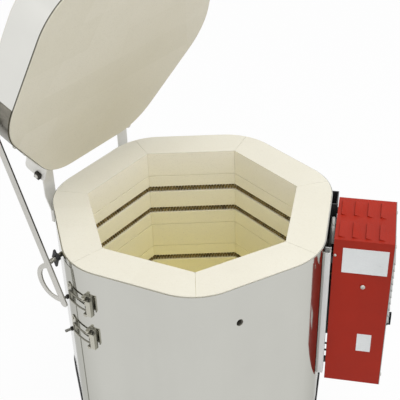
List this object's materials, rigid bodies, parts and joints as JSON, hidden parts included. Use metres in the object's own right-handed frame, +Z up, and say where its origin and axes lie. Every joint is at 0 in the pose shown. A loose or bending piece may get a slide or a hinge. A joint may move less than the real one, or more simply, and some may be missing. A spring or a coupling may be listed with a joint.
{
  "type": "pottery kiln",
  "caption": "Seven-sided top-loading electric kiln: firebrick courses with element grooves in a steel jacket, propped hinged lid, draw latches and a louvred side control box on a legged stand.",
  "frame": {"origin": "centre of the chamber floor's top face", "axes": "+Z up; one flat side of the seven faces +Y and one corner -Y; the control box is on the +X side"},
  "size_m": [0.6815, 0.5819, 1.1313],
  "materials": {
    "firebrick": "dull, porous",
    "heating_wire": "dull oxide",
    "porcelain": "smooth",
    "terminal_metal": "dull",
    "stainless": "bright mill finish",
    "plated_steel": "plated",
    "dark_steel": "blackened",
    "stand_steel": "satin",
    "black_plastic": "satin",
    "knob_black": "gloss",
    "red_paint": "satin enamel",
    "face_metal": "brushed",
    "pale_paint": "satin",
    "black_paint": "satin",
    "white_plate": "satin",
    "wire_sleeve": "woven glass"
  },
  "bodies": {
    "kiln": {"base_pan": "stand_steel", "box_back_plate": "face_metal", "box_face_plate": "face_metal", "box_screws": "plated_steel", "brick_course_1": "firebrick", "brick_course_2": "firebrick", "brick_course_3": "firebrick", "brick_course_4": "firebrick", "control_box": "red_paint", "cord_gland": "black_plastic", "element_1": "heating_wire", "element_2": "heating_wire", "element_3": "heating_wire", "element_4": "heating_wire", "element_bushings": "porcelain", "floor_band": "stainless", "floor_slab": "firebrick", "guide_bolt": "plated_steel", "hinge_arm_left": "plated_steel", "hinge_arm_right": "plated_steel", "hinge_back_plate": "plated_steel", "hinge_screws": "plated_steel", "jacket": "stainless", "jacket_lap": "stainless", "jacket_lip": "stainless", "latch_adjusters": "plated_steel", "latch_base_1": "plated_steel", "latch_base_2": "plated_steel", "latch_keeper_1": "plated_steel", "latch_keeper_2": "plated_steel", "name_plate": "white_plate", "rating_sticker": "white_plate", "sleeved_wires": "wire_sleeve", "stand_feet": "black_plastic", "stand_legs": "stand_steel", "stand_ring": "stand_steel", "stand_skirt": "stand_steel", "standoff_front": "pale_paint", "standoff_rear": "black_paint", "standoff_spacers": "black_plastic", "switch_body": "black_plastic", "terminal_block": "porcelain", "terminals": "terminal_metal"},
    "lid": {"lid_slab": "firebrick", "lid_band": "stainless", "lid_band_plate": "stainless", "lid_hinge_strap": "plated_steel", "lid_hinge_ears": "plated_steel", "lid_screws": "plated_steel", "lid_handle": "black_paint", "hinge_rod": "plated_steel", "hinge_nuts": "dark_steel", "prop_screw": "plated_steel"},
    "prop": {"prop_bar": "plated_steel"},
    "guide_knob": {"guide_knob": "black_plastic"},
    "switch_knob": {"switch_knob": "knob_black"},
    "latch_lever_1": {"latch_lever_1": "plated_steel"},
    "latch_bail_1": {"latch_bail_1": "plated_steel"},
    "latch_lever_2": {"latch_lever_2": "plated_steel"},
    "latch_bail_2": {"latch_bail_2": "plated_steel"}
  },
  "joints": [
    {"name": "lid_hinge", "type": "hinge", "parent": "kiln", "child": "lid", "pos_m": [-0.20163, 0.1608, 0.3631], "axis": [-0.6235, -0.7818, 0], "range_deg": [-68.4, 2]},
    {"name": "prop_swing", "type": "hinge", "parent": "lid", "child": "prop", "pos_m": [-0.30713, -0.08184, 0.55373], "axis": [-0.6235, -0.7818, 0], "range_deg": [-1, 12.8]},
    {"name": "guide_knob_turn", "type": "hinge", "parent": "kiln", "child": "guide_knob", "pos_m": [-0.23128, -0.12253, 0.3185], "axis": [-0.6235, -0.7818, 0], "continuous": true},
    {"name": "switch_turn", "type": "hinge", "parent": "kiln", "child": "switch_knob", "pos_m": [0.34171, -0.07799, 0.1218], "axis": [0.9749, -0.2225, 0], "range_deg": [-270, 0]},
    {"name": "latch_lever_1_swing", "type": "hinge", "parent": "kiln", "child": "latch_lever_1", "pos_m": [-0.18231, -0.18118, 0.2638], "axis": [0, 0, -1], "range_deg": [0, 35]},
    {"name": "latch_bail_1_swing", "type": "hinge", "parent": "latch_lever_1", "child": "latch_bail_1", "pos_m": [-0.1777, -0.18367, 0.2638], "axis": [0, 0, -1], "range_deg": [-35, 0]},
    {"name": "latch_lever_2_swing", "type": "hinge", "parent": "kiln", "child": "latch_lever_2", "pos_m": [-0.18231, -0.18118, 0.1918], "axis": [0, 0, -1], "range_deg": [0, 35]},
    {"name": "latch_bail_2_swing", "type": "hinge", "parent": "latch_lever_2", "child": "latch_bail_2", "pos_m": [-0.1777, -0.18367, 0.1918], "axis": [0, 0, -1], "range_deg": [-35, 0]}
  ],
  "couplings": [
    {"joint": "prop_swing", "follows": "lid_hinge", "ratio": -0.184},
    {"joint": "latch_bail_1_swing", "follows": "latch_lever_1_swing", "ratio": -1},
    {"joint": "latch_bail_2_swing", "follows": "latch_lever_2_swing", "ratio": -1}
  ]
}
